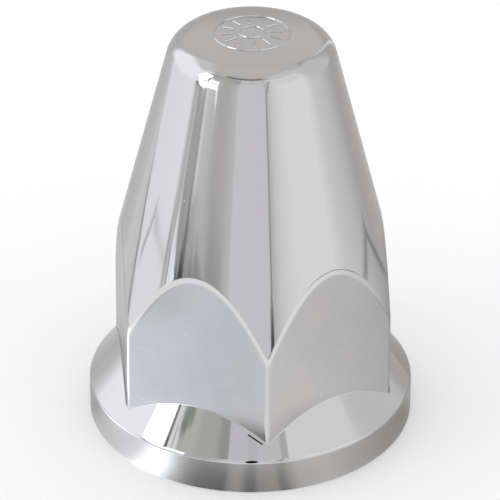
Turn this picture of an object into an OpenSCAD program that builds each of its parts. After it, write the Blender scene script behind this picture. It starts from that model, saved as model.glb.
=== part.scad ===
// Push-on cover cap for a lorry wheel nut: a one-piece plated moulding with a hexagonal base, a round
// cone nose and a flange that stands on the wheel. Open underneath, with ribs that grip the nut.
// The origin is the centre of the rim's bottom face, and +Z points up through the nose.
// Two corners of the hexagon lie on the Y axis.

/* [Flange] */
// Outside diameter of the rim
flange_d = 54; // [51:0.5:64]
// Height of the upright rim
rim_h = 5.8; // [4:0.1:9]
// Slope of the flange's upper face, in degrees from level
flange_slope = 50; // [35:1:58]
// Bevel on the rim's two outer edges
rim_bevel = 0.3; // [0.1:0.05:0.6]

/* [Hexagon] */
// Width across the flats at the bottom of the cap
hex_af = 43.5; // [41:0.25:46]
// Draft of each flat, in degrees
hex_draft = 0.5; // [0.25:0.25:2]
// Radius of the six upright corners
corner_r = 1; // [0.5:0.1:3]
// Height at which the nose meets the middle of each flat, the top of the arch
arch_h = 35.4; // [30:0.2:42]

/* [Nose] */
// Height of the whole cap
cap_h = 69.5; // [60:0.5:90]
// Taper of the nose, in degrees from the axis
nose_taper = 14.7; // [8:0.1:17]
// Radius of the round edge between the nose and the crown
shoulder_r = 4.6; // [3:0.1:7]
// Radius of the slightly domed crown
crown_r = 76; // [40:1:150]

/* [Wall] */
// Thickness of the moulded wall
wall = 2.2; // [1.6:0.1:3]

/* [Grip] */
// Width across the flats of the wheel nut
nut_af = 33; // [30:0.5:34]
// Ribs on each flat
ribs_per_flat = 2; // [1:1:3]
// Distance between the ribs of one flat
rib_pitch = 10; // [6:0.5:11]
// Thickness of a rib
rib_t = 1.4; // [1:0.1:2]
// Height of the ribs' lower ends, which clear the nut's washer
rib_low = 8; // [7:0.5:10]
// Height of the ribs' upper ends
rib_high = 30; // [24:0.5:33]
// Length of the lead-in slope at the foot of a rib
lead_in = 2; // [1:0.25:3]

/* [Crown mark] */
// Diameter of the outer raised ring
mark_d = 12.4; // [10:0.2:14]
// Diameter of the inner raised ring
mark_inner_d = 4.4; // [3:0.2:6]
// Width of the raised lines
mark_line = 0.4; // [0.3:0.05:0.6]
// Height of the raised lines above the crown
mark_h = 0.2; // [0.1:0.05:0.3]
// Short radial bars between the two rings
mark_bars = 12; // [6:1:16]

/* [Hidden] */
$fn = 96;
flats = 6;
overlap = 1;
sketch_size = 200;
corner_steps = 32;
shoulder_steps = 12;
crown_steps = 6;
slice_h = 0.01;
min_shoulder_r = 0.8;
min_corner_r = 0.4;
mark_gap = 0.7;
mark_sink = 0.6;
flange_r = flange_d / 2;
mark_foot = cap_h - mark_sink;

// Half the width across the flats at a height, with the surface set in by the wall
function hex_apothem(z, inset) = hex_af / 2 - z * tan(hex_draft) - inset / cos(hex_draft);

// Radius of the nose's cone at a height
function nose_r(z, inset) =
    hex_apothem(arch_h, 0) - (z - arch_h) * tan(nose_taper) - inset / cos(nose_taper);

// Height of the flange's sloping face at a radius
function flange_z(r, inset) =
    rim_h + (flange_r - r) * tan(flange_slope) - inset / cos(flange_slope);

// Points along an arc from angle a to angle b, the axis being the sketch's Y
function arc(centre, r, a, b, steps) =
    [for (i = [0:steps]) let (t = a + (b - a) * i / steps) centre + r * [cos(t), sin(t)]];

// Centre of the shoulder's arc, which touches the cone's line and the crown's arc from inside
function shoulder_centre(r, inset) =
    let (crown_z = cap_h - crown_r,
         t = tan(nose_taper),
         a = nose_r(0, inset + r),
         reach = crown_r - inset - r,
         p = 1 + t * t,
         q = a * t + crown_z,
         c = a * a + crown_z * crown_z - reach * reach,
         z = (q + sqrt(q * q - p * c)) / p)
    [a - z * t, z];

// Half section of the nose: cone, shoulder and crown
module nose_profile(inset) {
    r = max(shoulder_r - inset, min_shoulder_r);
    centre = shoulder_centre(r, inset);
    crown_centre = [0, cap_h - crown_r];
    crown_start = atan2(centre[1] - crown_centre[1], centre[0]);
    last_step = 90 - (90 - crown_start) / crown_steps;
    polygon(concat(
        [[0, -overlap], [nose_r(-overlap, inset), -overlap]],
        arc(centre, r, nose_taper, crown_start, shoulder_steps),
        arc(crown_centre, crown_r - inset, crown_start, last_step, crown_steps - 1),
        [[0, cap_h - inset]]
    ));
}

// Six drafted flats with rounded corners, from just below the rim to above the arches
module hex_tower(inset) {
    r = max(corner_r - inset, min_corner_r);
    top = arch_h + overlap;
    hull()
        for (z = [-overlap, top], i = [0:flats - 1])
            rotate(90 + i * 360 / flats)
                translate([(hex_apothem(z, inset) - r) / cos(180 / flats), 0, z])
                    cylinder(h = slice_h, r = r, $fn = corner_steps);
}

// Hexagonal base that runs up into the round nose
module tower(inset) {
    intersection() {
        rotate_extrude() nose_profile(inset);
        union() {
            hex_tower(inset);
            translate([0, 0, arch_h]) cylinder(h = sketch_size, r = hex_apothem(arch_h, inset));
        }
    }
}

// Upright rim and the sloping face that climbs to the hexagon
module flange(inset, foot) {
    bevel = inset > 0 ? 0 : rim_bevel;
    r = flange_r - inset;
    top_r = hex_apothem(rim_h, inset) - overlap;
    rotate_extrude()
        polygon([
            [0, foot],
            [r - bevel, foot],
            [r, foot + bevel],
            [r, flange_z(r, inset) - bevel],
            [r - bevel, flange_z(r - bevel, inset)],
            [top_r, flange_z(top_r, inset)],
            [0, flange_z(top_r, inset)]
        ]);
}

// Outer or inner surface of the whole cap, as a filled form
module cap_form(inset, foot) {
    flange(inset, foot);
    intersection() {
        tower(inset);
        translate([0, 0, foot]) cylinder(h = sketch_size, r = sketch_size);
    }
}

// One rib: an upright plate whose inner edge bears on the nut, with a lead-in slope at its foot
module rib() {
    tip = nut_af / 2;
    reach = flange_r - wall;
    rotate([90, 0, 0])
        translate([0, 0, -rib_t / 2])
            linear_extrude(height = rib_t)
                polygon([
                    [tip + lead_in / 2, rib_low],
                    [tip, rib_low + lead_in],
                    [tip, rib_high],
                    [reach, rib_high],
                    [reach, rib_low]
                ]);
}

// All the ribs, cut to end inside the wall
module grip_ribs() {
    intersection() {
        for (i = [0:flats - 1], k = [0:ribs_per_flat - 1])
            rotate(i * 360 / flats)
                translate([0, (k - (ribs_per_flat - 1) / 2) * rib_pitch, 0])
                    rib();
        cap_form(wall / 2, 0);
    }
}

// Raised ring of the crown mark
module mark_ring(d) {
    translate([0, 0, mark_foot])
        difference() {
            cylinder(h = cap_h - mark_foot + mark_h, r = d / 2);
            translate([0, 0, -overlap]) cylinder(h = sketch_size, r = d / 2 - mark_line);
        }
}

// Plain mark on the crown: two rings with short bars between them, following the dome
module crown_mark() {
    bar_start = mark_inner_d / 2 + mark_gap;
    bar_length = (mark_d - mark_inner_d) / 2 - mark_line - 2 * mark_gap;
    intersection() {
        union() {
            mark_ring(mark_d);
            mark_ring(mark_inner_d);
            for (i = [0:mark_bars - 1])
                rotate(i * 360 / mark_bars)
                    translate([bar_start, -mark_line / 2, mark_foot])
                        cube([bar_length, mark_line, cap_h - mark_foot + mark_h]);
        }
        translate([0, 0, cap_h - crown_r]) sphere(r = crown_r + mark_h);
    }
}

// The whole cap is one moulding
module nut_cover() {
    color([0.78, 0.78, 0.79]) {
        difference() {
            cap_form(0, 0);
            cap_form(wall, -overlap);
        }
        grip_ribs();
        crown_mark();
    }
}

nut_cover();
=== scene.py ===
"""Looks of a push-on cover cap for a wheel nut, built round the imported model.

The cap is one plated moulding: an upright rim, a sloping flange, a drafted hexagon that runs up into a
round cone nose in six arches, and a domed crown. Lengths are in millimetres until a mesh is made.
Angles in the studio are measured from the camera's own side, positive to the camera's right.
"""

import math

import bmesh
import bpy
import numpy as np
from mathutils import Matrix, Vector


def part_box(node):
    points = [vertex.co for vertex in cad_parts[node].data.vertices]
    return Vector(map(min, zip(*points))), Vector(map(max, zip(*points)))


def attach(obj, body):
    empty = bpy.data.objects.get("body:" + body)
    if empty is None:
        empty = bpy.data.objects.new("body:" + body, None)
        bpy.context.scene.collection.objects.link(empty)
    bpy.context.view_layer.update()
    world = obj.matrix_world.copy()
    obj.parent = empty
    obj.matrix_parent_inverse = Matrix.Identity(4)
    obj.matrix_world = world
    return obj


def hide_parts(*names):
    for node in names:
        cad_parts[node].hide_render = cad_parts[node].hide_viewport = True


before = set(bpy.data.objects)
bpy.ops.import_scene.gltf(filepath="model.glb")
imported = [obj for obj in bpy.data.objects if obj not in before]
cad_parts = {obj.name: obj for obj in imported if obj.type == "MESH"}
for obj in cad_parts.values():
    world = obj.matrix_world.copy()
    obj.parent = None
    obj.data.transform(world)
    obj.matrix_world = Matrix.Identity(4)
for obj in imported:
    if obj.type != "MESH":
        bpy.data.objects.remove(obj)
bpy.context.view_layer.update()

# Sizes of the cap, in millimetres, as its solid has them
MM = 0.001
NODE = "nut_cover"
FLANGE_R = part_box(NODE)[1].x / MM
RIM_H = 5.8
RIM_BEVEL = 0.3
FLANGE_SLOPE = math.radians(50)
HEX_AF = 43.5
HEX_DRAFT = math.radians(0.5)
CORNER_R = 1.0
ARCH_H = 35.4
CAP_H = 69.5
TAPER = math.radians(14.7)
SHOULDER_R = 4.6
CROWN_R = 76.0
WALL = 2.2

# Grip ribs inside, two on each flat
NUT_AF = 33.0
RIB_PITCH = 10.0
RIB_T = 1.4
RIB_LOW = 8.0
RIB_HIGH = 30.0
RIB_LEAD = 2.0
RIB_REACH = 3.0

# Plain raised mark on the crown
MARK_R = 6.2
MARK_INNER_R = 2.2
MARK_LINE = 0.4
MARK_H = 0.18
MARK_EDGE = 0.1
BAR_FROM = 2.9
BAR_TO = 5.1
LINE_ACROSS = (0.24, 0.19, 0.165, 0.14, 0.12, 0.09, 0.0)
OUTER_GAP_R = [5.5, 5.3]
INNER_GAP_R = [2.6]
MIDDLE_R = [1.4, 1.0, 0.6, 0.3]
MARK_MARGIN = 0.1
BAR_MARGIN = 0.03

# Edges that only the looks show
EDGE_BAND = 1.3
CREASE = 0.4
CREASE_TURN = 0.34

# Mesh grid: columns round the axis, in sectors that start at a corner of the hexagon
FLATS = 6
SECTOR_COLUMNS = 60
CORNER_COLUMNS = 5
BAR_COLUMNS = 5
BAR_SECTOR_COLUMNS = 30
CORNER_SPREAD = math.radians(1.35)
BAR_SPREAD = 0.28
BAR_NEAR_R = 2.6
BAR_FAR_R = 5.4
FIRST_CORNER = math.radians(90)
FLANGE_ROWS = 10
CREASE_ROWS = 6
BEVEL_ROWS = 4
RIM_ROWS = 5
FLAT_ROWS = 16
BAND_ROWS = 11
CONE_ROWS = 33
SHOULDER_ROWS = 17
DOME_ROWS = 7
BAR_END_ROWS = 9
BAR_ROWS = 5
CORE_SHOULDER_ROWS = 8
SOLVE_STEPS = 12
MIN_CORNER_R = 0.4
MIN_SHOULDER_R = 0.8
TURN_FROM = 0.2
SHARP_INSIDE = math.radians(20)
ON_FLOOR = 1e-7

# Camera, found from the photograph: 500 pixels across, focal length 3000 pixels
CAMERA_AZIMUTH = math.radians(-6.474)
CAMERA_ELEVATION = math.radians(31.0)
CAMERA_ROLL = math.radians(0.224)
CAMERA_DISTANCE = 492.25
CAMERA_TARGET_SIDE = -0.158
CAMERA_TARGET_Z = 29.471
FOCAL_PIXELS = 3000
FRAME_PIXELS = 500
SENSOR_MM = 36.0
CLIP_NEAR = 0.01
CLIP_FAR = 20


def smoothstep(low, high, x):
    """0 below low, 1 above high, smooth between."""
    t = np.clip((x - low) / (high - low), 0, 1)
    return t * t * (3 - 2 * t)


def unit(v):
    """Vectors scaled to length 1, along the last axis."""
    return v / np.linalg.norm(v, axis=-1, keepdims=True)


def apothem(z, inset=0.0):
    """Half the width across flats at a height."""
    return HEX_AF / 2 - z * math.tan(HEX_DRAFT) - inset / math.cos(HEX_DRAFT)


def nose_radius(z, inset=0.0):
    """Radius of the cone at a height."""
    return apothem(ARCH_H) - (z - ARCH_H) * math.tan(TAPER) - inset / math.cos(TAPER)


def flange_height(r, inset=0.0):
    """Height of the flange's sloping face at a radius."""
    return RIM_H + (FLANGE_R - r) * math.tan(FLANGE_SLOPE) - inset / math.cos(FLANGE_SLOPE)


def from_flat(theta):
    """Angle from the middle of the nearest flat."""
    sector = math.tau / FLATS
    return (theta + sector / 2) % sector - sector / 2


def hex_radius(theta, z, inset=0.0):
    """Radius of the hexagon with its rounded corners."""
    half = math.pi / FLATS
    a = apothem(z, inset)
    rho = max(CORNER_R - inset, MIN_CORNER_R)
    phi = np.abs(from_flat(theta))
    tangent = np.arctan((a - rho) / a * math.tan(half))
    centre = (a - rho) / math.cos(half)
    off = phi - half
    arc = centre * np.cos(off) + np.sqrt(np.maximum(rho**2 - (centre * np.sin(off)) ** 2, 0))
    return np.where(phi < tangent, a / np.cos(phi), arc)


def band_width(theta):
    """Range of radius over which the arch's edge is rounded, for an even band on the surface."""
    lean = math.tan(TAPER) - math.tan(HEX_DRAFT)
    return EDGE_BAND / 2 * np.hypot(lean, np.tan(from_flat(theta)))


def tower_radius(theta, z, inset=0.0):
    """Hexagon and cone, joined by a narrow round."""
    a = hex_radius(theta, z, inset)
    b = nose_radius(z, inset)
    k = band_width(theta)
    h = np.maximum(k - np.abs(a - b), 0) / k
    return np.minimum(a, b) - h * h * k / 4


def tower_normal(theta, z):
    """Outward normal of the tower, from its radius."""
    step = 1e-4
    r = tower_radius(theta, z)
    by_theta = (tower_radius(theta + step, z) - tower_radius(theta - step, z)) / (2 * step)
    by_z = (tower_radius(theta, z + step) - tower_radius(theta, z - step)) / (2 * step)
    out = np.stack([np.cos(theta), np.sin(theta), np.zeros_like(theta)], -1)
    along = np.stack([-np.sin(theta), np.cos(theta), np.zeros_like(theta)], -1)
    up = np.array([0.0, 0.0, 1.0])
    return unit(out - along * (by_theta / r)[:, None] - up * by_z[:, None])


def arch_height(theta, inset=0.0):
    """Height at which the cone meets the hexagon, round the cap."""
    z = np.full(theta.shape, ARCH_H)
    for _ in range(SOLVE_STEPS):
        z = ARCH_H + (nose_radius(ARCH_H, inset) - hex_radius(theta, z, inset)) / math.tan(TAPER)
    return z


def foot_height(theta, inset=0.0):
    """Height at which the flange meets the hexagon, round the cap."""
    z = np.full(theta.shape, RIM_H)
    for _ in range(SOLVE_STEPS):
        z = flange_height(hex_radius(theta, z, inset), inset)
    return z


def shoulder_arc(inset=0.0):
    """Centre and radius of the shoulder's arc, and the angles where the cone and the crown begin."""
    rho = max(SHOULDER_R - inset, MIN_SHOULDER_R)
    crown_z = CAP_H - CROWN_R
    t = math.tan(TAPER)
    a = nose_radius(0, inset + rho)
    reach = CROWN_R - inset - rho
    p = 1 + t * t
    q = a * t + crown_z
    c = a * a + crown_z * crown_z - reach * reach
    z = (q + math.sqrt(q * q - p * c)) / p
    x = a - z * t
    return x, z, rho, TAPER, math.atan2(z - crown_z, x)


def tower_columns():
    """Angles of the columns on the flange, hexagon and cone: close together at the corners."""
    sector = math.tau / FLATS
    near = np.linspace(0, CORNER_SPREAD, CORNER_COLUMNS + 1)
    between = SECTOR_COLUMNS - 2 * CORNER_COLUMNS
    far = np.linspace(CORNER_SPREAD, sector - CORNER_SPREAD, between + 1)[1:]
    last = sector - near[-2:0:-1]
    one = np.concatenate([near, far, last])
    return np.concatenate([FIRST_CORNER + one + i * sector for i in range(FLATS)])


def crown_columns(r):
    """Angles of the columns on the crown: close together along the mark's bars."""
    sector = math.tau / (FLATS * SECTOR_COLUMNS / BAR_SECTOR_COLUMNS)
    spread = BAR_SPREAD / min(max(r, BAR_NEAR_R), BAR_FAR_R)
    near = np.linspace(0, spread, BAR_COLUMNS + 1)
    between = BAR_SECTOR_COLUMNS - 2 * BAR_COLUMNS
    far = np.linspace(spread, sector - spread, between + 1)[1:]
    last = sector - near[-2:0:-1]
    one = np.concatenate([near, far, last])
    count = round(math.tau / sector)
    return np.concatenate([FIRST_CORNER + one + i * sector for i in range(count)])


def ring_points(theta, r, z):
    """Points of one row, in millimetres."""
    r = np.broadcast_to(r, theta.shape)
    z = np.broadcast_to(z, theta.shape)
    return np.stack([r * np.cos(theta), r * np.sin(theta), z], -1)


def ring_normals(theta, out, up):
    """Normals of one row on a surface of revolution."""
    n = np.stack([out * np.cos(theta), out * np.sin(theta), np.full(theta.shape, up)], -1)
    return unit(n)


class Skin:
    """A grid of rows round the axis, each with points, normals and the zone of the band above it."""

    def __init__(self):
        self.points = []
        self.normals = []
        self.zones = []

    def add(self, points, normals, zone):
        self.points.append(points)
        self.normals.append(normals)
        self.zones.append(zone)

    def bend(self, theta, corner, ends, normals, steps, zone, turned=1.0):
        """Rows along a curve that rounds a corner of the section, between two points of it.

        The normals have turned from the first to the second at this share of the curve.
        """
        for t in np.linspace(0, 1, steps + 1):
            low, high = ends
            r = (1 - t) ** 2 * low[0] + 2 * t * (1 - t) * corner[0] + t * t * high[0]
            z = (1 - t) ** 2 * low[1] + 2 * t * (1 - t) * corner[1] + t * t * high[1]
            share = min(t / turned, 1)
            n = unit(normals[0] * (1 - share) + normals[1] * share)
            self.add(ring_points(theta, r, z), n, zone)


def add_rim(skin, theta):
    """Bottom face, upright rim and its two rounded edges."""
    down = ring_normals(theta, 0, -1)
    out = ring_normals(theta, 1, 0)
    slope = ring_normals(theta, math.sin(FLANGE_SLOPE), math.cos(FLANGE_SLOPE))
    inner = FLANGE_R - RIM_BEVEL
    skin.add(ring_points(theta, FLANGE_R - WALL, 0), down, "mirror")
    skin.bend(theta, (FLANGE_R, 0), ((inner, 0), (FLANGE_R, RIM_BEVEL)), (down, out), BEVEL_ROWS, "mirror")
    skin.zones[-1] = "rim"
    for z in np.linspace(RIM_BEVEL, RIM_H - RIM_BEVEL, RIM_ROWS)[1:-1]:
        skin.add(ring_points(theta, FLANGE_R, z), out, "rim")
    ends = ((FLANGE_R, RIM_H - RIM_BEVEL), (inner, flange_height(inner)))
    skin.bend(theta, (FLANGE_R, RIM_H), ends, (out, slope), BEVEL_ROWS, "mirror")


def add_flange(skin, theta):
    """Sloping face, and the tight crease where it meets the hexagon."""
    slope = ring_normals(theta, math.sin(FLANGE_SLOPE), math.cos(FLANGE_SLOPE))
    foot = foot_height(theta)
    foot_r = hex_radius(theta, foot)
    low_r = foot_r + CREASE * math.cos(FLANGE_SLOPE)
    start_r = FLANGE_R - RIM_BEVEL
    for t in np.linspace(0, 1, FLANGE_ROWS)[1:-1]:
        r = start_r + (low_r - start_r) * t
        skin.add(ring_points(theta, r, flange_height(r)), slope, "mirror")
    high = foot + CREASE
    ends = ((low_r, flange_height(low_r)), (hex_radius(theta, high), high))
    normals = (slope, tower_normal(theta, high))
    skin.bend(theta, (foot_r, foot), ends, normals, CREASE_ROWS, "flat", CREASE_TURN)
    return high


def add_tower(skin, theta, low):
    """Six flats, the rounded edge along the arches, and the cone up to the shoulder."""
    arch = arch_height(theta)
    lean = math.tan(TAPER) - math.tan(HEX_DRAFT)
    band = band_width(theta) / lean
    for t in np.linspace(0, 1, FLAT_ROWS)[1:]:
        z = low + (arch - band - low) * t
        skin.add(ring_points(theta, tower_radius(theta, z), z), tower_normal(theta, z), "flat")
    skin.zones[-1] = "mirror"
    for t in np.linspace(-1, 1, BAND_ROWS)[1:]:
        z = arch + band * t
        skin.add(ring_points(theta, tower_radius(theta, z), z), tower_normal(theta, z), "mirror")
    x, centre_z, rho, start, _ = shoulder_arc()
    top = centre_z + rho * math.sin(start)
    crown = crown_columns(x + rho)
    for t in np.linspace(0, 1, CONE_ROWS)[1:-1]:
        z = arch + band + (top - arch - band) * t
        turned = theta + (crown - theta) * smoothstep(TURN_FROM, 1.0, t)
        normals = ring_normals(turned, math.cos(TAPER), math.sin(TAPER))
        skin.add(ring_points(turned, nose_radius(z), z), normals, "mirror")


def mark_height(r, theta):
    """Height of the crown mark's raised lines above the dome."""
    half = MARK_LINE / 2
    bars = FLATS * SECTOR_COLUMNS // BAR_SECTOR_COLUMNS
    step = math.tau / bars
    side = r * np.sin((theta - FIRST_CORNER + step / 2) % step - step / 2)
    past = np.maximum(np.maximum(BAR_FROM + half - r, r - BAR_TO + half), 0)
    away = np.hypot(past, side)
    for ring in (MARK_R, MARK_INNER_R):
        away = np.minimum(away, np.abs(r - ring + half))
    return MARK_H * (1 - smoothstep(half - MARK_EDGE, half, away))


def crown_point(theta, r):
    """Points of the crown with its mark."""
    z = CAP_H - CROWN_R + np.sqrt(CROWN_R**2 - r * r) + mark_height(r, theta)
    return ring_points(theta, r, z)


def crown_normal(theta, r):
    """Normals of the crown, from its height."""
    step = 1e-3
    r = np.full(theta.shape, max(r, 2 * step))
    by_r = crown_point(theta, r + step)[:, 2] - crown_point(theta, r - step)[:, 2]
    turn = step / r
    by_theta = crown_point(theta + turn, r)[:, 2] - crown_point(theta - turn, r)[:, 2]
    out = np.stack([np.cos(theta), np.sin(theta), np.zeros_like(theta)], -1)
    along = np.stack([-np.sin(theta), np.cos(theta), np.zeros_like(theta)], -1)
    up = np.array([0.0, 0.0, 2 * step])
    return unit(up - out * by_r[:, None] - along * by_theta[:, None])


def line_rows(outer):
    """Radii of the rows across one raised ring, from its outer edge inwards."""
    middle = outer - MARK_LINE / 2
    across = np.array(LINE_ACROSS)
    return list(middle + across) + list(middle - across[-2::-1])


def add_crown(skin):
    """Shoulder, dome and crown mark, in to the middle."""
    x, centre_z, rho, start, end = shoulder_arc()
    for angle in np.linspace(start, end, SHOULDER_ROWS):
        theta = crown_columns(x + rho)
        r = x + rho * math.cos(angle)
        z = centre_z + rho * math.sin(angle)
        normals = ring_normals(theta, math.cos(angle), math.sin(angle))
        skin.add(ring_points(theta, r, z), normals, "mirror")
    edge = x + rho * math.cos(end)
    radii = list(np.linspace(edge, MARK_R + MARK_MARGIN, DOME_ROWS)[1:])
    radii += line_rows(MARK_R)
    radii += OUTER_GAP_R
    radii += list(np.linspace(BAR_TO + BAR_MARGIN, BAR_TO - MARK_LINE, BAR_END_ROWS))
    radii += list(np.linspace(BAR_TO - MARK_LINE, BAR_FROM + MARK_LINE, BAR_ROWS)[1:-1])
    radii += list(np.linspace(BAR_FROM + MARK_LINE, BAR_FROM - BAR_MARGIN, BAR_END_ROWS))
    radii += INNER_GAP_R
    radii += line_rows(MARK_INNER_R)
    radii += MIDDLE_R
    for r in radii:
        theta = crown_columns(r)
        skin.add(crown_point(theta, np.full(theta.shape, r)), crown_normal(theta, r), "mirror")


def outer_skin():
    """All rows of the outside, from the bottom face's inner edge to the crown."""
    skin = Skin()
    theta = tower_columns()
    add_rim(skin, theta)
    low = add_flange(skin, theta)
    add_tower(skin, theta, low)
    add_crown(skin)
    return skin


def grid_faces(rows, columns):
    """Quads between neighbouring rows, as an array of corner numbers."""
    row, column = np.mgrid[0 : rows - 1, 0:columns]
    nxt = (column + 1) % columns
    low = row * columns
    high = low + columns
    quads = np.stack([low + column, low + nxt, high + nxt, high + column], -1)
    return quads.reshape(-1, 4)


def cavity_core():
    """The space inside the cap as a closed mesh, with the notches that the ribs leave in it."""
    theta = tower_columns()
    x, centre_z, rho, start, end = shoulder_arc(WALL)
    inner = FLANGE_R - WALL
    foot = foot_height(theta, WALL)
    arch = arch_height(theta, WALL)
    rows = [ring_points(theta, inner, 0), ring_points(theta, inner, flange_height(inner, WALL))]
    for t in (0.5, 1.0):
        r = inner + (hex_radius(theta, foot, WALL) - inner) * t
        rows.append(ring_points(theta, r, flange_height(r, WALL)))
    for t in (0.25, 0.5, 0.75, 1.0):
        z = foot + (arch - foot) * t
        rows.append(ring_points(theta, hex_radius(theta, z, WALL), z))
    top = centre_z + rho * math.sin(start)
    for t in (0.25, 0.5, 0.75):
        z = arch + (top - arch) * t
        rows.append(ring_points(theta, nose_radius(z, WALL), z))
    for angle in np.linspace(start, end, CORE_SHOULDER_ROWS):
        rows.append(ring_points(theta, x + rho * math.cos(angle), centre_z + rho * math.sin(angle)))
    dome = CROWN_R - WALL
    edge = x + rho * math.cos(end)
    for r in (edge * 0.6, edge * 0.2):
        rows.append(ring_points(theta, r, CAP_H - CROWN_R + math.sqrt(dome**2 - r * r)))
    columns = len(theta)
    faces = grid_faces(len(rows), columns).tolist()
    faces.append(list(range(columns))[::-1])
    faces.append([(len(rows) - 1) * columns + i for i in range(columns)])
    core = new_object("cavity_core", np.concatenate(rows) * MM, faces)
    cut_ribs(core)
    return core


def rib_mesh():
    """All the ribs as closed plates, which reach past the inside of the wall."""
    bm = bmesh.new()
    tip = NUT_AF / 2
    reach = apothem(RIB_LOW, WALL) + RIB_REACH
    section = [
        (tip + RIB_LEAD / 2, RIB_LOW),
        (reach, RIB_LOW),
        (reach, RIB_HIGH),
        (tip, RIB_HIGH),
        (tip, RIB_LOW + RIB_LEAD),
    ]
    for i in range(FLATS):
        turn = Matrix.Rotation(i * math.tau / FLATS, 4, "Z")
        for side in (-RIB_PITCH / 2, RIB_PITCH / 2):
            low = [bm.verts.new(turn @ Vector((x, side - RIB_T / 2, z)) * MM) for x, z in section]
            high = [bm.verts.new(turn @ Vector((x, side + RIB_T / 2, z)) * MM) for x, z in section]
            bm.faces.new(low)
            bm.faces.new(high[::-1])
            for k in range(len(section)):
                m = (k + 1) % len(section)
                bm.faces.new([low[m], low[k], high[k], high[m]])
    bmesh.ops.recalc_face_normals(bm, faces=bm.faces)
    mesh = bpy.data.meshes.new("ribs")
    bm.to_mesh(mesh)
    bm.free()
    return bpy.data.objects.new("ribs", mesh)


def cut_ribs(core):
    """Takes the ribs out of the space inside."""
    ribs = rib_mesh()
    bpy.context.scene.collection.objects.link(ribs)
    cut = core.modifiers.new("cut", "BOOLEAN")
    cut.operation = "DIFFERENCE"
    cut.solver = "EXACT"
    cut.object = ribs
    bpy.context.view_layer.update()
    depsgraph = bpy.context.evaluated_depsgraph_get()
    done = bpy.data.meshes.new_from_object(core.evaluated_get(depsgraph))
    core.modifiers.clear()
    core.data = done
    bpy.data.objects.remove(ribs)


def new_object(name, points, faces):
    """A mesh object in the scene."""
    mesh = bpy.data.meshes.new(name)
    mesh.from_pydata(points.tolist(), [], faces)
    obj = bpy.data.objects.new(name, mesh)
    bpy.context.scene.collection.objects.link(obj)
    return obj


def inner_skin(edge_points):
    """The inside as points, faces and corner normals. Its bottom edge reuses the outside's points."""
    core = cavity_core()
    mesh = core.data
    mesh.set_sharp_from_angle(angle=SHARP_INSIDE)
    for polygon in mesh.polygons:
        polygon.use_smooth = True
    points = np.array([v.co for v in mesh.vertices])
    floor = np.abs(points[:, 2]) < ON_FLOOR
    number = np.zeros(len(points), int)
    gap = np.linalg.norm(points[floor][:, None, :] - edge_points[None], axis=-1)
    number[floor] = gap.argmin(1)
    number[~floor] = np.arange((~floor).sum())
    faces = []
    normals = []
    corner_normals = [tuple(c.vector) for c in mesh.corner_normals]
    for polygon in mesh.polygons:
        corners = list(polygon.vertices)
        if all(floor[c] for c in corners):
            continue
        faces.append([(bool(floor[c]), int(number[c])) for c in corners][::-1])
        normals += [tuple(-np.array(corner_normals[k])) for k in list(polygon.loop_indices)[::-1]]
    bpy.data.objects.remove(core)
    return points[~floor], faces, normals


ZONES = ["mirror", "rim", "flat", "inside"]


def build_cover():
    """The whole cap as one closed mesh, with true normals and a material zone for each face."""
    skin = outer_skin()
    columns = FLATS * SECTOR_COLUMNS
    rows = len(skin.points)
    points = np.concatenate(skin.points) * MM
    vertex_normals = np.concatenate(skin.normals)
    quads = grid_faces(rows, columns)
    faces = quads.tolist()
    middle = len(points)
    last = (rows - 1) * columns
    faces += [[last + i, last + (i + 1) % columns, middle] for i in range(columns)]
    points = np.vstack([points, [0, 0, CAP_H * MM]])
    vertex_normals = np.vstack([vertex_normals, [0, 0, 1]])
    corner_normals = [tuple(vertex_normals[c]) for face in faces for c in face]
    zones = face_zones(skin.zones, columns)
    zones += [ZONES.index("mirror")] * columns
    inner_points, inner_faces, inner_normals = inner_skin(points[:columns])
    base = len(points)
    faces += [[n if shared else base + n for shared, n in face] for face in inner_faces]
    corner_normals += inner_normals
    zones += [ZONES.index("inside")] * len(inner_faces)
    cover = new_object("plated_cover", np.vstack([points, inner_points]), faces)
    cover.data.polygons.foreach_set("use_smooth", [True] * len(faces))
    cover.data.polygons.foreach_set("material_index", zones)
    cover.data.normals_split_custom_set(corner_normals)
    return cover


def face_zones(row_zones, columns):
    """Material number of each quad. The hexagon's rounded corners are polished like the cone."""
    place = np.arange(columns) % SECTOR_COLUMNS
    corner = (place < CORNER_COLUMNS) | (place >= SECTOR_COLUMNS - CORNER_COLUMNS)
    zones = []
    for zone in row_zones[:-1]:
        flat = np.full(columns, ZONES.index(zone))
        if zone == "flat":
            flat[corner] = ZONES.index("mirror")
        zones += flat.tolist()
    return zones


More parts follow.
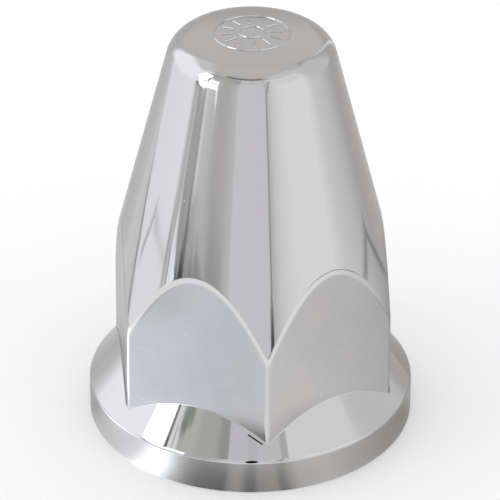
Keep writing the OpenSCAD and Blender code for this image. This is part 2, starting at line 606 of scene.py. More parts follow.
class Nodes:
    """Short ways to make and join shader nodes."""

    def __init__(self, tree):
        self.tree = tree
        tree.nodes.clear()

    def add(self, kind, inputs=None, **settings):
        node = self.tree.nodes.new(kind)
        for name, value in settings.items():
            setattr(node, name, value)
        for key, value in (inputs or {}).items():
            self.put(node.inputs[key], value)
        return node

    def put(self, socket, value):
        if isinstance(value, bpy.types.NodeSocket):
            self.tree.links.new(value, socket)
        else:
            socket.default_value = value

    def math(self, operation, *values):
        node = self.add("ShaderNodeMath", dict(enumerate(values)), operation=operation)
        return node.outputs[0]

    def span(self, value, low, high, to_low=0.0, to_high=1.0, smooth=True):
        """Maps a range of value to another, and holds it at the ends."""
        kind = "SMOOTHSTEP" if smooth else "LINEAR"
        ends = {"Value": value, "From Min": low, "From Max": high, "To Min": to_low, "To Max": to_high}
        return self.add("ShaderNodeMapRange", ends, interpolation_type=kind).outputs[0]

    def mix(self, factor, first, second):
        node = self.add("ShaderNodeMix", data_type="RGBA")
        self.put(node.inputs["Factor"], factor)
        self.put(node.inputs["A"], first)
        self.put(node.inputs["B"], second)
        return node.outputs["Result"]

    def noise(self, vector, scale, detail=2.0, roughness=0.5):
        values = {"Vector": vector, "Scale": scale, "Detail": detail, "Roughness": roughness}
        return self.add("ShaderNodeTexNoise", values).outputs["Fac"]

    def stretched(self, vector, scale):
        values = {"Vector": vector, "Scale": scale}
        return self.add("ShaderNodeMapping", values).outputs[0]

    def bump(self, height, distance, normal=None):
        values = {"Height": height, "Distance": distance, "Strength": 1.0}
        if normal is not None:
            values["Normal"] = normal
        return self.add("ShaderNodeBump", values).outputs[0]


PLATING = (0.57, 0.568, 0.572, 1.0)
# RIM_PLATING is darker than PLATING: painted shade for the micro-shadowing among the brushing lines
RIM_PLATING = (0.52, 0.516, 0.514, 1.0)
RIM_DARK = (0.50, 0.496, 0.494, 1.0)
SATIN_COOL = (0.535, 0.542, 0.556, 1.0)
SATIN_PALE = (0.62, 0.62, 0.625, 1.0)
SPECK = (0.74, 0.74, 0.74, 1.0)
# Black, for the nick and for the painted dark reflection line in the crease
NICK_AND_PAINTED_REFLECTION = (0.01, 0.01, 0.01, 1.0)
NICK_AT = (-0.00293, -0.02683, 0.00592)
NICK_SIZE = (0.0013, 0.0004, 0.00024)
# A painted dark reflection line in the crease at the foot of the front left flat, near its corner: the two
# ends and the width
CREASE_PAINTED_REFLECTION = ((-0.00300, -0.02392, 0.00926), (-0.00090, -0.02506, 0.00810), 0.00016)
INSIDE_PLATING = (0.40, 0.395, 0.385, 1.0)
INSIDE_DULL = (0.30, 0.295, 0.285, 1.0)

# Heights of the bumps, in metres, and the range of each metal's roughness
MIRROR_BUMP = 0.000014
MIRROR_ROUGHNESS = (0.03, 0.055)
SATIN_BUMP = 0.000024
SATIN_ROUGHNESS = (0.16, 0.24)
RIM_BUMP = 0.0000004
RIM_ROUGHNESS = (0.24, 0.32)
INSIDE_BUMP = 0.00002
INSIDE_ROUGHNESS = (0.34, 0.52)
DUST_ROUGHNESS = 0.5
DUST_CELLS = 420.0
DUST_SPOT = (0.03, 0.05)
DUST_SHARE = 0.72

# Scales of the noises, one number or one for each axis, and shares of the finer one
MIRROR_WAVES = 95.0
MIRROR_PEEL = 420.0
PEEL_SHARE = 0.06
MIRROR_HAZE = 180.0
SATIN_LINES = (260.0, 260.0, 2600.0)
SATIN_WAVES = 70.0
LINE_SHARE = 0.02
SATIN_HAZE = 150.0
SATIN_CLOUDS = (120.0, 120.0, 60.0)
STREAK_SHARE = 0.22
RIM_LINES = (3.0, 1.0, 9000.0)
RIM_GRAIN = (120.0, 1.0, 900.0)
RIM_ANISOTROPY = 0.9
RIM_TURN = 0.25
INSIDE_GRAIN = 1500.0
INSIDE_PATCHES = 110.0
NICK_EDGE = (0.8, 1.0)

# Where a noise turns from one look to the other
HAZE_SPAN = (0.3, 0.75)


def metal(name, colour):
    """A new metal material, its nodes and its shader."""
    material = bpy.data.materials.new(name)
    material.use_nodes = True
    nodes = Nodes(material.node_tree)
    shader = nodes.add("ShaderNodeBsdfPrincipled", {"Base Color": colour, "Metallic": 1.0})
    output = nodes.add("ShaderNodeOutputMaterial")
    nodes.put(output.inputs["Surface"], shader.outputs[0])
    place = nodes.add("ShaderNodeTexCoord").outputs["Object"]
    return material, nodes, shader, place


def round_place(nodes, place):
    """Angle round the axis and height, as a vector for streaks that run round the cap."""
    xyz = nodes.add("ShaderNodeSeparateXYZ", {0: place}).outputs
    angle = nodes.math("ARCTAN2", xyz[1], xyz[0])
    return nodes.add("ShaderNodeCombineXYZ", {0: angle, 1: 0.0, 2: xyz[2]}).outputs[0]


def specks(nodes, place):
    """1 on a few tiny specks of dust and pits in the plating."""
    cells = nodes.add("ShaderNodeTexVoronoi", {"Vector": place, "Scale": DUST_CELLS}).outputs
    spot = nodes.span(cells["Distance"], *DUST_SPOT, 1.0, 0.0)
    draw = nodes.add("ShaderNodeSeparateXYZ", {0: cells["Color"]}).outputs[0]
    return nodes.math("MULTIPLY", spot, nodes.math("GREATER_THAN", draw, DUST_SHARE))


def nick(nodes, place):
    """1 on one small dark nick in the flange's edge, at the front."""
    offset = nodes.add("ShaderNodeVectorMath", {0: place, 1: NICK_AT}, operation="SUBTRACT").outputs[0]
    scaled = nodes.add("ShaderNodeVectorMath", {0: offset, 1: NICK_SIZE}, operation="DIVIDE").outputs[0]
    away = nodes.add("ShaderNodeVectorMath", {0: scaled}, operation="LENGTH").outputs["Value"]
    return nodes.span(away, *NICK_EDGE, 1.0, 0.0)


def painted_crease_reflection(nodes, place):
    """1 on the thin painted dark reflection line in the crease."""
    start, end, width = CREASE_PAINTED_REFLECTION
    along = Vector(end) - Vector(start)
    offset = nodes.add("ShaderNodeVectorMath", {0: place, 1: start}, operation="SUBTRACT").outputs[0]
    scaled = {0: offset, 1: along / along.length_squared}
    reach = nodes.add("ShaderNodeVectorMath", scaled, operation="DOT_PRODUCT").outputs["Value"]
    share = nodes.span(reach, 0.0, 1.0, smooth=False)
    line = {0: tuple(along), "Scale": share}
    nearest = nodes.add("ShaderNodeVectorMath", line, operation="SCALE").outputs[0]
    apart = {0: offset, 1: nearest}
    away = nodes.add("ShaderNodeVectorMath", apart, operation="DISTANCE").outputs["Value"]
    return nodes.span(away, width * 0.5, width, 1.0, 0.0)


def mirror_plating():
    """Bright polished plating: sharp reflections, with the faint waves of the moulding under it."""
    material, nodes, shader, place = metal("mirror_plating", PLATING)
    waves = nodes.noise(place, MIRROR_WAVES, 1.5)
    peel = nodes.noise(place, MIRROR_PEEL, 2.0)
    height = nodes.math("MULTIPLY_ADD", peel, PEEL_SHARE, waves)
    nodes.put(shader.inputs["Normal"], nodes.bump(height, MIRROR_BUMP))
    haze = nodes.noise(place, MIRROR_HAZE, 4.0)
    dust = specks(nodes, place)
    # Black on the nick, and on the crease's painted dark reflection line
    mark = nodes.math("MAXIMUM", nick(nodes, place), painted_crease_reflection(nodes, place))
    roughness = nodes.span(haze, *HAZE_SPAN, *MIRROR_ROUGHNESS)
    dusty = nodes.math("MULTIPLY", dust, DUST_ROUGHNESS)
    nodes.put(shader.inputs["Roughness"], nodes.math("MAXIMUM", roughness, dusty))
    colour = nodes.mix(dust, PLATING, SPECK)
    nodes.put(shader.inputs["Base Color"], nodes.mix(mark, colour, NICK_AND_PAINTED_REFLECTION))
    return material


def satin_plating():
    """The flats: a little less polished, with fine polishing lines."""
    material, nodes, shader, place = metal("satin_plating", PLATING)
    lines = nodes.noise(nodes.stretched(place, SATIN_LINES), 1.0, 3.0)
    waves = nodes.noise(place, SATIN_WAVES, 1.0)
    height = nodes.math("MULTIPLY_ADD", lines, LINE_SHARE, waves)
    nodes.put(shader.inputs["Normal"], nodes.bump(height, SATIN_BUMP))
    haze = nodes.noise(place, SATIN_HAZE, 4.0)
    nodes.put(shader.inputs["Roughness"], nodes.span(haze, *HAZE_SPAN, *SATIN_ROUGHNESS))
    clouds = nodes.noise(nodes.stretched(place, SATIN_CLOUDS), 1.0, 4.0, 0.6)
    cloudy = nodes.mix(nodes.span(clouds, 0.3, 0.7), SATIN_COOL, PLATING)
    streaks = nodes.math("MULTIPLY", nodes.span(lines, 0.45, 0.75), STREAK_SHARE)
    colour = nodes.mix(streaks, cloudy, SATIN_PALE)
    dusty = nodes.mix(specks(nodes, place), colour, SPECK)
    # The crease's painted dark reflection line, in black
    nodes.put(shader.inputs["Base Color"], nodes.mix(painted_crease_reflection(nodes, place), dusty, NICK_AND_PAINTED_REFLECTION))
    return material


def brushed_rim():
    """The upright rim: fine lines round the cap, so that reflections spread up and down."""
    # The rim's base colour is darker than the other plating: painted shade for the brushed band
    material, nodes, shader, place = metal("brushed_rim", RIM_PLATING)
    around = round_place(nodes, place)
    lines = nodes.noise(nodes.stretched(around, RIM_LINES), 1.0, 4.0, 0.7)
    grain = nodes.noise(nodes.stretched(around, RIM_GRAIN), 1.0, 5.0, 0.75)
    nodes.put(shader.inputs["Normal"], nodes.bump(lines, RIM_BUMP))
    nodes.put(shader.inputs["Roughness"], nodes.span(lines, 0.25, 0.75, *RIM_ROUGHNESS))
    nodes.put(shader.inputs["Base Color"], nodes.mix(nodes.span(grain, 0.35, 0.65), RIM_DARK, RIM_PLATING))
    shader.inputs["Anisotropic"].default_value = RIM_ANISOTROPY
    shader.inputs["Anisotropic Rotation"].default_value = RIM_TURN
    tangent = nodes.add("ShaderNodeTangent", direction_type="RADIAL", axis="Z")
    nodes.put(shader.inputs["Tangent"], tangent.outputs[0])
    return material


def inside_plating():
    """The inside: thin dull plating over the moulded surface."""
    material, nodes, shader, place = metal("inside_plating", INSIDE_PLATING)
    grain = nodes.noise(place, INSIDE_GRAIN, 3.0)
    patches = nodes.noise(place, INSIDE_PATCHES, 4.0)
    nodes.put(shader.inputs["Normal"], nodes.bump(grain, INSIDE_BUMP))
    nodes.put(shader.inputs["Roughness"], nodes.span(patches, *HAZE_SPAN, *INSIDE_ROUGHNESS))
    colour = nodes.mix(nodes.span(patches, 0.35, 0.7), INSIDE_PLATING, INSIDE_DULL)
    nodes.put(shader.inputs["Base Color"], colour)
    return material


# The studio, as what the metal sees: azimuth in degrees from the camera's side, light level, tint.
# Levels and edges, here and in the tables below, follow the reflections in the photograph.
COOL = (0.99, 0.985, 1.02)
BLUE = (0.96, 0.99, 1.04)
LILAC = (1.005, 0.985, 1.01)
PLAIN = (1.0, 1.0, 1.0)
WARM = (1.015, 0.998, 0.98)
WALLS = [
    (-180, 0.58, WARM),
    (-148, 0.66, PLAIN),
    (-128, 0.82, PLAIN),
    (-124, 1.16, COOL),
    (-78, 1.24, COOL),
    (-76.5, 1.05, PLAIN),
    (-75, 0.74, PLAIN),
    (-73.5, 0.80, PLAIN),
    (-72, 0.66, PLAIN),
    (-70.3, 0.88, PLAIN),
    (-68.8, 0.60, PLAIN),
    (-61, 0.59, PLAIN),
    (-59.9, 0.50, PLAIN),
    (-58.7, 0.66, PLAIN),
    (-57.5, 1.10, COOL),
    (-56.3, 1.04, COOL),
    (-55, 0.86, PLAIN),
    (-48, 0.79, PLAIN),
    (-43, 0.71, PLAIN),
    (-38, 0.66, WARM),
    (-30, 0.67, WARM),
    (-18.6, 0.80, PLAIN),
    (-17, 0.93, LILAC),
    (17, 0.91, LILAC),
    (18, 0.72, PLAIN),
    (23, 0.92, PLAIN),
    (31, 1.05, PLAIN),
    (40, 1.14, PLAIN),
    (72, 1.14, PLAIN),
    (85, 0.95, PLAIN),
    (105, 0.80, PLAIN),
    (125, 0.59, WARM),
]


def level(value, tint=PLAIN):
    """A colour for a light level and a tint."""
    return (value * tint[0], value * tint[1], value * tint[2], 1.0)


def azimuth_of(nodes, xyz):
    """Azimuth of a vector from the camera's side, in degrees."""
    back = nodes.math("MULTIPLY", xyz[1], -1.0)
    turn = nodes.math("SUBTRACT", nodes.math("ARCTAN2", xyz[0], back), CAMERA_AZIMUTH)
    return nodes.math("WRAP", nodes.math("DEGREES", turn), 180.0, -180.0)


def studio_angles(nodes):
    """Azimuth from the camera's side and elevation of a ray, in degrees."""
    ray = nodes.add("ShaderNodeTexCoord").outputs["Generated"]
    xyz = nodes.add("ShaderNodeSeparateXYZ", {0: ray}).outputs
    elevation = nodes.math("DEGREES", nodes.math("ARCSINE", xyz[2]))
    return azimuth_of(nodes, xyz), elevation


def panel_mask(nodes, azimuth, elevation, box, soft, lean=0.0):
    """1 inside a box of azimuth and elevation, with soft sides. lean slants its upright sides.

    A side that is None is open.
    """
    across = nodes.math("MULTIPLY_ADD", elevation, -lean, azimuth) if lean else azimuth
    mask = None
    for k, side in enumerate(box):
        if side is None:
            continue
        value = across if k < 2 else elevation
        half = soft[k // 2] / 2
        low, high = (0.0, 1.0) if k % 2 == 0 else (1.0, 0.0)
        edge = nodes.span(value, side - half, side + half, low, high)
        mask = edge if mask is None else nodes.math("MULTIPLY", mask, edge)
    return mask


# Panels over the walls: box in degrees (azimuth from, to, elevation from, to), softness, lean, colour.
# A lean slants the sides of a box: degrees of azimuth for each degree of elevation.
BEIGE = (1.0, 1.0, 0.965)
GREEN = (0.93, 1.02, 0.95)
PANELS = {
    "rear_wall_left": ((None, -138, 20, 62), (14, 14), 0.0, level(0.75, WARM)),
    "rear_wall_right": ((138, None, 20, 62), (14, 14), 0.0, level(0.75, WARM)),
    "left_wall_top": ((-140, -80, 6, 47), (10, 16), 0.0, level(1.40, COOL)),
    "right_wall_top": ((84, 130, 4, 50), (20, 8), 0.0, level(0.84)),
    "lens": ((-4.5, 3.5, 50.8, 53.2), (2, 0.8), 0.0, level(0.62)),
    "left_skirting": ((-128, -98, None, -14.1), (4, 0.3), 0.0, level(0.90)),
    "left_skirting_line": ((-117, -102, -14.45, -13.95), (5, 0.25), 0.0, level(0.46)),
    "left_cable": ((-66.3, -65.1, -13.2, -10.6), (0.5, 0.4), 2.9, level(0.68)),
    "left_cable_end": ((-15.7, -13.2, -10.7, -8.1), (0.9, 0.3), 7.6, level(0.74)),
    "low_shade_left": ((-57.4, -53.6, None, -4.1), (1.0, 0.8), 0.0, level(0.60)),
    "low_shade_mid": ((-54.5, -42, None, -3.9), (3, 1.4), 0.0, level(0.64)),
    "low_foot_left": ((-57.4, -52.5, None, -5.25), (1.0, 0.6), 0.0, level(0.43)),
    "low_foot_mid": ((-53.5, -47.5, None, -4.68), (2, 0.5), 0.0, level(0.42)),
    "low_foot_right": ((-48.5, -40, None, -4.05), (2, 0.5), 0.0, level(0.43)),
    "low_shade_right": ((-38, -24, None, -2.6), (8, 2.4), 0.0, level(0.49)),
    "left_line": ((-76.5, -74.7, None, -7.2), (0.8, 0.8), 0.0, level(0.45)),
    "left_line_next": ((-72.6, -71.4, None, -7.4), (0.5, 0.5), 0.0, level(0.42)),
    "left_wall_edge": ((-79, -66, 11.5, 36), (1.2, 1), 0.0, level(1.22, COOL)),
    "left_wall_shade": ((-75.5, -66, -3.6, 11.5), (1.2, 1), -0.14, level(0.56)),
    "stripe_mid": ((-68.2, -57.3, None, -5.4), (0.8, 0.9), 0.0, level(0.53)),
    "stripe_edge": ((-60.8, -57.4, None, -4.6), (1.2, 0.8), 0.0, level(0.33)),
    "stripe_foot_left": ((-67.0, -61.0, None, -6.40), (0.8, 0.4), 0.0, level(0.20, (0.97, 1.0, 1.02))),
    "stripe_foot": ((-61.8, -57.3, None, -5.65), (0.8, 0.4), 0.0, level(0.11, (0.97, 1.0, 1.02))),
    "stripe_light": ((-71.2, -64.7, None, -6.74), (0.9, 0.2), 0.0, level(1.5, BLUE)),
    "stripe_mid_light": ((-70.6, -66.4, None, -6.47), (0.9, 0.25), 0.0, level(1.42, BLUE)),
    "stripe_thin_light": ((-70.5, -68.4, None, -6.05), (0.9, 0.5), 0.0, level(1.22, COOL)),
    "beige_wall": ((-58, -18, 38, 62), (3, 5), 0.0, level(0.63, BEIGE)),
    "beige_light": ((-58, -43, 36.5, 42.5), (7, 1.5), 0.0, level(0.72, BEIGE)),
    "beige_dark": ((-26, -16, 43.4, 46.5), (7, 1.2), 0.0, level(0.48, BEIGE)),
    "window": ((-81.6, -65.2, 27, 46.5), (1.2, 1.5), 0.0, level(3.0, COOL)),
    "window_left_low": ((-68.2, -54, 0, 33.6), (1.0, 1.2), -0.36, level(2.4, COOL)),
    "window_foot_left": ((-65.6, -63.2, -2.93, 2), (1.0, 0.1), 0.0, level(1.8, COOL)),
    "window_foot": ((-63.2, -60.6, -2.58, 2), (1.0, 0.1), 0.0, level(1.8, COOL)),
    "window_mid": ((-61, -50, 3.6, 33.6), (1.0, 1.2), 0.0, level(2.4, COOL)),
    "window_right": ((-53, -43.2, 1.4, 33.6), (1.0, 1.2), -0.11, level(2.1, COOL)),
    "window_rail": ((7.5, 14.5, 19.5, 25), (1.5, 1), -2.9, level(0.98)),
    "window_low_left": ((-59.5, -54, -2.1, 3.6), (1.2, 0.3), 0.0, level(0.99, COOL)),
    "window_low": ((-54, -49.5, -1.48, 3.6), (1.2, 0.2), 0.0, level(0.99, COOL)),
    "window_low_right": ((-49.5, -44, -1.0, 3.6), (1.2, 0.2), 0.0, level(0.99, COOL)),
    "window_column": ((-46.2, -43.6, -0.92, 3), (0.7, 0.15), 0.0, level(1.6, COOL)),
    "window_knot": ((-68.4, -64.4, 21, 26), (1, 2), 0.0, level(0.98)),
    "front_wall": ((-17, 17, 41, 47.5), (1.2, 1.2), 0.0, level(0.84, LILAC)),
    "front_shade": ((-1.5, 5.5, 42, 47.5), (1.5, 1.2), 0.0, level(0.77, LILAC)),
    "pole_low": ((16.9, 18.4, None, 8), (0.6, 2), 0.45, level(0.46)),
    "pole_foot": ((16.4, 19.0, None, -3.1), (1.0, 0.3), 0.45, level(0.10)),
    "pole_high": ((15.6, 18.6, 6, 41), (1.0, 1), 0.17, level(0.55)),
    "right_front": ((30, 82, 30, 47), (3, 3), 0.0, level(1.04)),
    "pole_side": ((16, 24.5, 41, 47.5), (1.2, 1.2), 0.0, level(0.84)),
    "pole_end": ((24.2, 29.8, 41, 47.5), (1.2, 1.2), 0.0, level(0.66)),
    "right_cable": ((63.0, 64.2, -21.5, -15.4), (0.5, 0.4), -3.45, level(0.34)),
    "right_cable_end": ((11.2, 13.2, -15.6, -13.0), (0.8, 0.3), -6.8, level(0.36)),
    "low_band": ((-86, 60, -30, -9), (20, 5), 0.0, level(1.20)),
    "right_arch_line": ((2, 16, -14, -6.5), (5, 1.5), -6.06, level(0.40)),
    "right_strip": ((152, 155, -15, 40), (2, 12), -0.4, level(1.0)),
}
# Seen past the window's edge, with wavy sides
GARDEN = {
    "garden_light": ((-65.2, -56.8, 33.8, 39.4), (0.5, 0.8), 0.0, level(1.14)),
    "garden_trunk": ((-65.4, -63.2, 33.8, 37.4), (0.5, 0.8), 0.0, level(0.20, GREEN)),
    "garden_branch": ((-60.8, -59.4, 36.7, 37.2), (0.5, 0.2), 0.0, level(0.45, GREEN)),
    "garden_bush": ((-188.4, -186.0, 37.7, 40.2), (0.6, 0.5), 3.41, level(0.28, GREEN)),
}
GARDEN_WAVE = 2.6
# A curtain's faint folds over the left wall: box, softness and colour
FOLDS = ((-56, -40, -4.5, 30), (3, 4), level(1.10, COOL))
FOLDS_SHARE = 0.22
FOLDS_SCALE = (1.9, 0.05, 1.0)
FOLDS_FROM = (0.55, 0.64)
RIPPLE_SCALE = (0.3, 4.0, 1.0)
CEILING = level(0.74, WARM)
CEILING_TOP = level(0.77, WARM)
CEILING_FROM = (54, 56.5)
CEILING_TOP_FROM = (62.0, 78.0)
# Over the ceiling
CEILING_PANELS = {
    "glow_left": ((-146, -88, 47, 61), (14, 8), 0.0, level(0.90)),
    "glow_right": ((34, 96, 50, 66), (12, 10), 0.0, level(0.90)),
    "edge": ((-52, 23, 56.0, 62.5), (14, 1.5), 0.0, level(0.30)),
}


def wall_colour(nodes, azimuth, stops):
    """Colour by azimuth, through a row of stops."""
    ramp = nodes.add("ShaderNodeValToRGB", {"Fac": nodes.span(azimuth, -180.0, 180.0, smooth=False)})
    points = ramp.color_ramp.elements
    points.remove(points[1])
    for k, (where, value, tint) in enumerate(stops):
        point = points[0] if k == 0 else points.new((where + 180) / 360)
        point.position = (where + 180) / 360
        point.color = level(value, tint)
    return ramp.outputs["Color"]


# Zones of the studio. Each ray works out only the panels of its own zone, which saves time.
SIDE_SPLIT = 0.0
HEIGHT_SPLIT = 14.0
LOWEST = -60.0
HIGHEST = 90.0


def spans_zone(low, high, soft, split, above):
    """Whether a range reaches the part of its axis above or below a split."""
    if above:
        return high is None or high + soft / 2 >= split
    return low is None or low - soft / 2 < split


def in_zone(box, soft, lean, right, high):
    """Whether a panel reaches a zone: the left or right side, below or above the height of the split."""
    west, east, bottom, top = box
    if lean:
        ends = [LOWEST if bottom is None else bottom, HIGHEST if top is None else top]
        west = min(west + lean * e for e in ends)
        east = max(east + lean * e for e in ends)
    across = spans_zone(west, east, soft[0], SIDE_SPLIT, right)
    return across and spans_zone(bottom, top, soft[1], HEIGHT_SPLIT, high)


def add_panels(nodes, colour, azimuth, elevation, panels, zone):
    """Those panels that reach a zone, laid over a colour, each over the one before."""
    for box, soft, lean, paint in panels.values():
        if in_zone(box, soft, lean, *zone):
            mask = panel_mask(nodes, azimuth, elevation, box, soft, lean)
            colour = nodes.mix(mask, colour, paint)
    return colour


def zone_colour(nodes, azimuth, elevation, walls, zone):
    """What a mirror sees of one zone of the studio, by direction."""
    right, high = zone
    colour = walls
    place = nodes.add("ShaderNodeCombineXYZ", {0: azimuth, 1: elevation}).outputs[0]
    if not right:
        curtain = nodes.noise(nodes.stretched(place, FOLDS_SCALE), 1.0, 2.0)
        box, soft, paint = FOLDS
        folds = panel_mask(nodes, azimuth, elevation, box, soft)
        lit = nodes.math("MULTIPLY", folds, nodes.span(curtain, *FOLDS_FROM, 0.0, FOLDS_SHARE))
        colour = nodes.mix(lit, colour, paint)
    colour = add_panels(nodes, colour, azimuth, elevation, PANELS, zone)
    if high and not right:
        ripple = nodes.noise(nodes.stretched(place, RIPPLE_SCALE), 1.0, 2.0)
        wavy = nodes.math("MULTIPLY_ADD", nodes.math("SUBTRACT", ripple, 0.5), GARDEN_WAVE, azimuth)
        colour = add_panels(nodes, colour, wavy, elevation, GARDEN, zone)
    if high:
        ceiling = nodes.mix(nodes.span(elevation, *CEILING_TOP_FROM), CEILING, CEILING_TOP)
        colour = nodes.mix(nodes.span(elevation, *CEILING_FROM), colour, ceiling)
        colour = add_panels(nodes, colour, azimuth, elevation, CEILING_PANELS, zone)
    return colour


def studio_light(nodes):
    """What a mirror sees of the studio, as light from the zone that a ray looks at."""
    azimuth, elevation = studio_angles(nodes)
    walls = wall_colour(nodes, azimuth, WALLS)
    right = nodes.math("GREATER_THAN", azimuth, SIDE_SPLIT)
    rows = []
    for high in (False, True):
        sides = []
        for side in (False, True):
            colour = zone_colour(nodes, azimuth, elevation, walls, (side, high))
            sides.append(nodes.add("ShaderNodeBackground", {"Color": colour}).outputs[0])
        rows.append(nodes.add("ShaderNodeMixShader", {0: right, 1: sides[0], 2: sides[1]}).outputs[0])
    above = nodes.math("GREATER_THAN", elevation, HEIGHT_SPLIT)
    return nodes.add("ShaderNodeMixShader", {0: above, 1: rows[0], 2: rows[1]}).outputs[0]


BACKDROP = (1.0, 1.0, 1.0, 1.0)


def make_world():
    """White for the camera and for diffuse light. Metal sees the studio's walls and not that white."""
    world = bpy.data.worlds.new("studio")
    bpy.context.scene.world = world
    world.use_nodes = True
    nodes = Nodes(world.node_tree)
    path = nodes.add("ShaderNodeLightPath").outputs
    backdrop = nodes.add("ShaderNodeBackground", {"Color": BACKDROP}).outputs[0]
    plain = nodes.math("MAXIMUM", path["Is Camera Ray"], path["Is Diffuse Ray"])
    light = nodes.add("ShaderNodeMixShader", {0: plain, 1: studio_light(nodes), 2: backdrop})
    output = nodes.add("ShaderNodeOutputWorld")
    nodes.put(output.inputs["Surface"], light.outputs[0])


FLOOR_R = 420.0
FLOOR_FADE = 300.0
TABLE_R = 105.0
TABLE_FADE = 30.0
FLOOR_GAP = 0.02
FLOOR_SIDES = 128
FLOOR_COLOUR = (0.985, 0.985, 0.986, 1.0)
NEAR_R = 35.6
AWAY_R = 38.0

# The table as metal sees it, by azimuth: near the rim, and further out where the flats look
TABLE_NEAR = [
    (-180, 0.60, PLAIN),
    (-92, 0.58, PLAIN),
    (-84, 0.56, PLAIN),
    (-73, 0.88, PLAIN),
    (-56, 1.14, COOL),
    (-49, 1.45, COOL),
    (-41, 3.0, COOL),
    (-37.5, 3.0, BLUE),
    (-33, 1.7, BLUE),
    (-29.5, 0.92, PLAIN),
    (-25, 0.46, PLAIN),
    (-19.5, 0.25, PLAIN),
    (-10, 0.18, PLAIN),
    (-7.8, 0.46, WARM),
    (-3.6, 0.48, WARM),
    (-1.8, 0.23, WARM),
    (1.4, 0.20, WARM),
    (3.2, 0.42, WARM),
    (10, 0.48, WARM),
    (11.4, 0.27, PLAIN),
    (13.2, 0.27, PLAIN),
    (15.6, 0.50, WARM),
    (19.5, 0.74, WARM),
    (31, 0.80, WARM),
    (42, 0.67, WARM),
    (60, 0.51, WARM),
    (82, 0.40, WARM),
    (92, 0.55, WARM),
    (180, 0.60, WARM),
]
TABLE_AWAY = [
    (-180, 0.70, PLAIN),
    (-130, 0.66, PLAIN),
    (-112, 0.72, PLAIN),
    (-92, 0.85, COOL),
    (-85, 1.8, COOL),
    (-75, 2.6, COOL),
    (-64, 1.6, BLUE),
    (-57, 1.22, BLUE),
    (-48, 1.05, BLUE),
    (-34, 0.90, BLUE),
    (-22, 0.95, PLAIN),
    (0, 1.12, PLAIN),
    (22, 0.95, WARM),
    (50, 0.90, WARM),
    (62, 0.80, WARM),
    (75, 0.66, WARM),
    (90, 0.52, WARM),
    (130, 0.46, WARM),
    (180, 0.70, WARM),
]


# A shade on the table, in front of the left flat: azimuth from, to, radius from, to in millimetres
TABLE_SHADE = ((-54, -43, 68, 92), (8, 6), level(0.74, PLAIN))


def table_glow(nodes, place):
    """What a mirror sees of the table, by place on it: painted reflections, given off as glow."""
    azimuth = azimuth_of(nodes, nodes.add("ShaderNodeSeparateXYZ", {0: place}).outputs)
    away = nodes.add("ShaderNodeVectorMath", {0: place}, operation="LENGTH").outputs["Value"]
    near = wall_colour(nodes, azimuth, TABLE_NEAR)
    far = wall_colour(nodes, azimuth, TABLE_AWAY)
    colour = nodes.mix(nodes.span(away, NEAR_R * MM, AWAY_R * MM), near, far)
    box, soft, shade = TABLE_SHADE
    mask = panel_mask(nodes, azimuth, nodes.math("DIVIDE", away, MM), box, soft)
    return nodes.mix(mask, colour, shade)


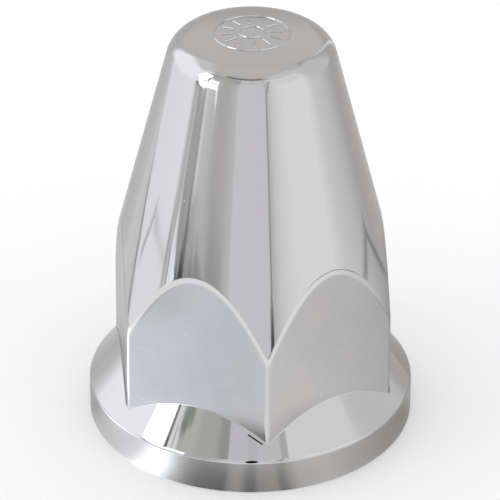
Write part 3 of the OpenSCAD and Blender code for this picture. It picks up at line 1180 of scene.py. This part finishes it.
def make_floor():
    """A round pale table top that fades out into the white backdrop. Mirror rays see it glow with painted
    reflections of the room.
    """
    bm = bmesh.new()
    bmesh.ops.create_circle(bm, cap_ends=True, segments=FLOOR_SIDES, radius=FLOOR_R * MM)
    mesh = bpy.data.meshes.new("floor")
    bm.to_mesh(mesh)
    bm.free()
    floor = bpy.data.objects.new("floor", mesh)
    floor.location.z = -FLOOR_GAP * MM
    bpy.context.scene.collection.objects.link(floor)
    material = bpy.data.materials.new("pale_floor")
    material.use_nodes = True
    nodes = Nodes(material.node_tree)
    place = nodes.add("ShaderNodeTexCoord").outputs["Object"]
    away = nodes.add("ShaderNodeVectorMath", {0: place}, operation="LENGTH").outputs["Value"]
    path = nodes.add("ShaderNodeLightPath").outputs
    mirrored = nodes.math("MAXIMUM", path["Is Glossy Ray"], path["Is Transmission Ray"])
    floor_fade = nodes.span(away, (FLOOR_R - FLOOR_FADE) * MM, FLOOR_R * MM)
    table_fade = nodes.span(away, (TABLE_R - TABLE_FADE) * MM, TABLE_R * MM)
    short = nodes.math("MULTIPLY", mirrored, table_fade)
    fade = nodes.math("MAXIMUM", short, floor_fade)
    pale = nodes.add("ShaderNodeBsdfDiffuse", {"Color": FLOOR_COLOUR}).outputs[0]
    # Painted reflections of the room: mirror rays see this glow and not the pale diffuse floor
    glow = nodes.add("ShaderNodeEmission", {"Color": table_glow(nodes, place)}).outputs[0]
    look = nodes.add("ShaderNodeMixShader", {0: mirrored, 1: pale, 2: glow}).outputs[0]
    clear = nodes.add("ShaderNodeBsdfTransparent").outputs[0]
    joined = nodes.add("ShaderNodeMixShader", {0: fade, 1: look, 2: clear}).outputs[0]
    output = nodes.add("ShaderNodeOutputMaterial")
    nodes.put(output.inputs["Surface"], joined)
    floor.data.materials.append(material)


def make_camera():
    """The photograph's view."""
    side = Vector((math.cos(CAMERA_AZIMUTH), math.sin(CAMERA_AZIMUTH), 0))
    level_out = Vector((math.sin(CAMERA_AZIMUTH), -math.cos(CAMERA_AZIMUTH), 0))
    away = level_out * math.cos(CAMERA_ELEVATION) + Vector((0, 0, math.sin(CAMERA_ELEVATION)))
    target = side * CAMERA_TARGET_SIDE + Vector((0, 0, CAMERA_TARGET_Z))
    data = bpy.data.cameras.new("camera")
    data.sensor_width = SENSOR_MM
    data.lens = FOCAL_PIXELS / FRAME_PIXELS * SENSOR_MM
    data.clip_start = CLIP_NEAR
    data.clip_end = CLIP_FAR
    camera = bpy.data.objects.new("camera", data)
    camera.location = (target + away * CAMERA_DISTANCE) * MM
    turn = away.to_track_quat("Z", "Y").to_matrix().to_4x4()
    turn = turn @ Matrix.Rotation(CAMERA_ROLL, 4, "Z")
    camera.rotation_euler = turn.to_euler()
    bpy.context.scene.collection.objects.link(camera)
    bpy.context.scene.camera = camera


def make_cap():
    """The cap's own mesh and materials, in place of its plain solid."""
    cover = build_cover()
    makers = {"mirror": mirror_plating, "rim": brushed_rim, "flat": satin_plating, "inside": inside_plating}
    for zone in ZONES:
        cover.data.materials.append(makers[zone]())
    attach(cover, "root")
    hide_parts(NODE)


bpy.context.scene.view_settings.view_transform = "Standard"
make_cap()
make_floor()
make_world()
make_camera()
